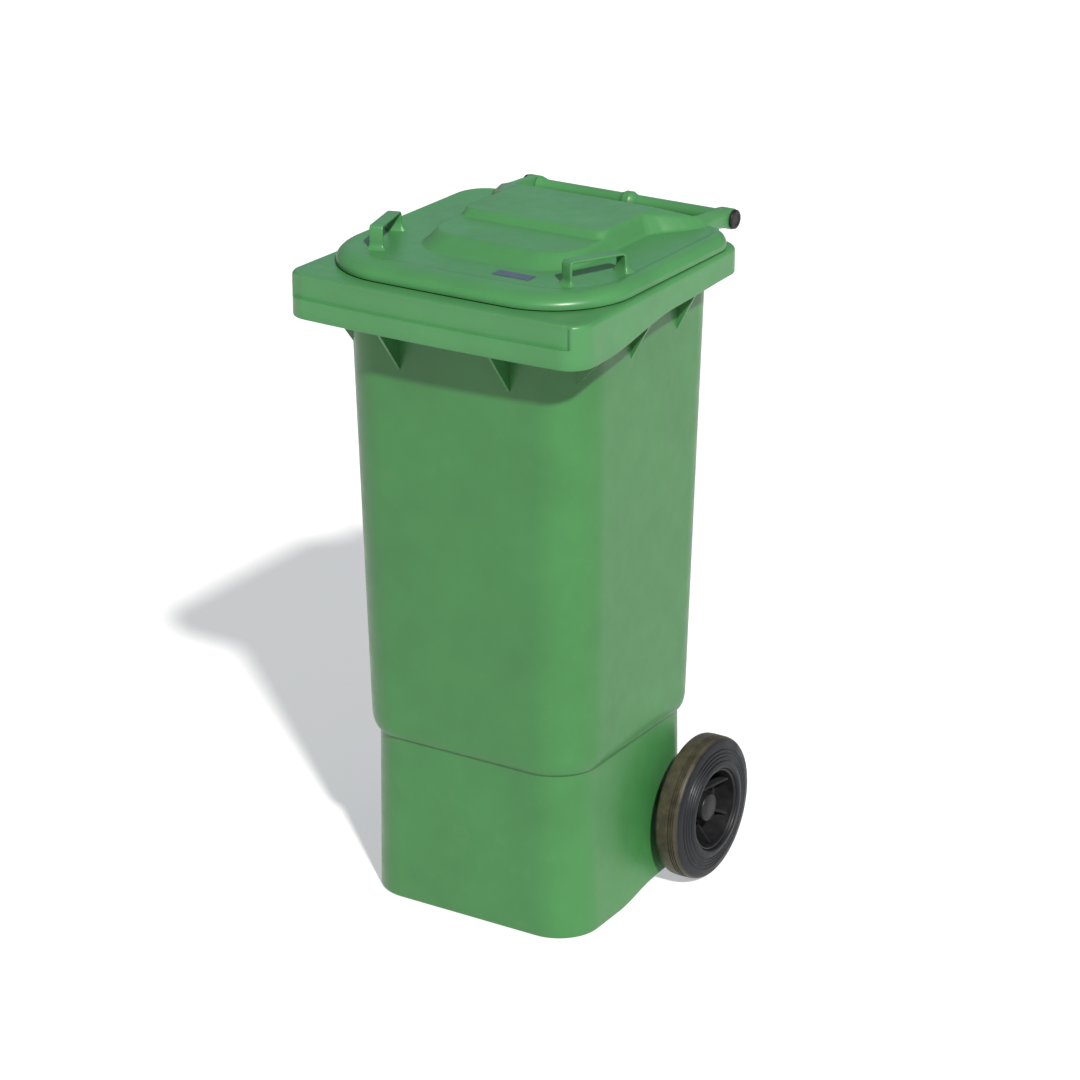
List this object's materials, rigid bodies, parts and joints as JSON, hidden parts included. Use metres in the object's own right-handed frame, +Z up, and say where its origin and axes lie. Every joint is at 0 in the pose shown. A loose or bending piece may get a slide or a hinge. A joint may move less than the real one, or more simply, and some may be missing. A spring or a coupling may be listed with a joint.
{
  "type": "wheelie bin",
  "caption": "Two-wheeled wheelie bin with a tapering moulded body, a stepped foot, a hinged lid with strap grips, a rear handle bar and rubber-tyred wheels on a steel axle.",
  "frame": {"origin": "on the ground, under the middle of the overall box", "axes": "+X to the right seen from the front, +Y to the back, where the wheels and handle are, +Z up"},
  "size_m": [0.445, 0.508, 0.938],
  "materials": {
    "green_plastic": "satin injection-moulded polyethylene, mid green",
    "tyre_rubber": "solid black rubber with a dusty tread",
    "black_plastic": "satin black moulded plastic",
    "buffer_rubber": "matt black rubber",
    "steel": "zinc-plated steel",
    "nylon": "natural nylon",
    "label": "blank dark blue-grey plate",
    "chip_resin": "cast resin disc"
  },
  "bodies": {
    "bin": {"body": "green_plastic", "hinge_pin_left": "black_plastic", "hinge_pin_right": "black_plastic", "chip": "chip_resin", "chip_plug": "black_plastic", "axle": "steel", "spacer_washer_left": "steel", "spacer_washer_right": "steel", "retaining_ring_left": "steel", "retaining_ring_right": "steel"},
    "lid": {"lid": "green_plastic", "label_plate": "label", "buffer_front_left": "buffer_rubber", "buffer_front_right": "buffer_rubber", "buffer_rear_left": "buffer_rubber", "buffer_rear_right": "buffer_rubber"},
    "wheel_left": {"tyre_left": "tyre_rubber", "wheel_rim_left": "black_plastic", "wheel_bush_left": "nylon", "hub_cap_left": "black_plastic"},
    "wheel_right": {"tyre_right": "tyre_rubber", "wheel_rim_right": "black_plastic", "wheel_bush_right": "nylon", "hub_cap_right": "black_plastic"}
  },
  "joints": [
    {"name": "lid_hinge", "type": "hinge", "parent": "bin", "child": "lid", "pos_m": [0, 0.24, 0.8965], "axis": [-1, 0, 0], "range_deg": [0, 270]},
    {"name": "wheel_spin_left", "type": "hinge", "parent": "bin", "child": "wheel_left", "pos_m": [-0.201, 0.1166, 0.1], "axis": [1, 0, 0], "continuous": true},
    {"name": "wheel_spin_right", "type": "hinge", "parent": "bin", "child": "wheel_right", "pos_m": [0.201, 0.1166, 0.1], "axis": [1, 0, 0], "continuous": true}
  ]
}
